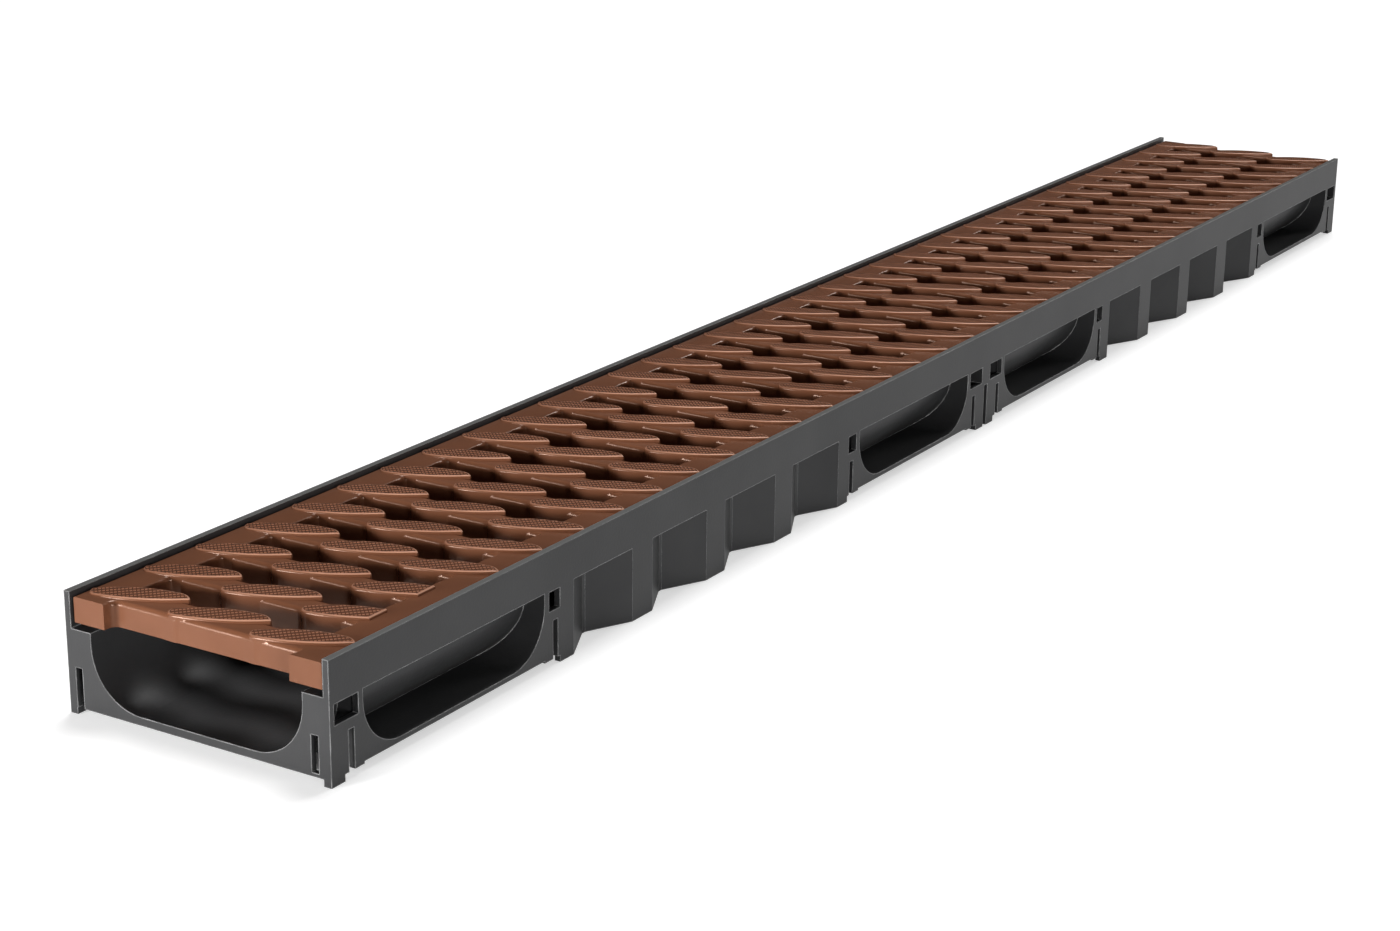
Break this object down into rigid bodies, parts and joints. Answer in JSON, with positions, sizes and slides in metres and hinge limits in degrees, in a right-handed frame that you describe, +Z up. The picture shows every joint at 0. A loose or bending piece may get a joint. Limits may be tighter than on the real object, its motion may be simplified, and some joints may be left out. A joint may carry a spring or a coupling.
{
  "type": "channel drain",
  "caption": "Shallow black plastic drainage channel with U-shaped trough, corrugated sides and outlet blanks, topped by a copper-brown drop-in grating of leaf-shaped bars.",
  "frame": {"origin": "on the ground under the middle of the channel", "axes": "+X along the channel, +Y across it, +Z up out of the grating"},
  "size_m": [1, 0.12, 0.047],
  "materials": {
    "body": "black moulded plastic, satin, lightly scuffed on its edges",
    "grating": "copper-brown moulded plastic, satin, with a fine cross-hatched texture on top"
  },
  "bodies": {
    "root": {"channel_body": "body", "grating": "grating"}
  },
  "joints": []
}
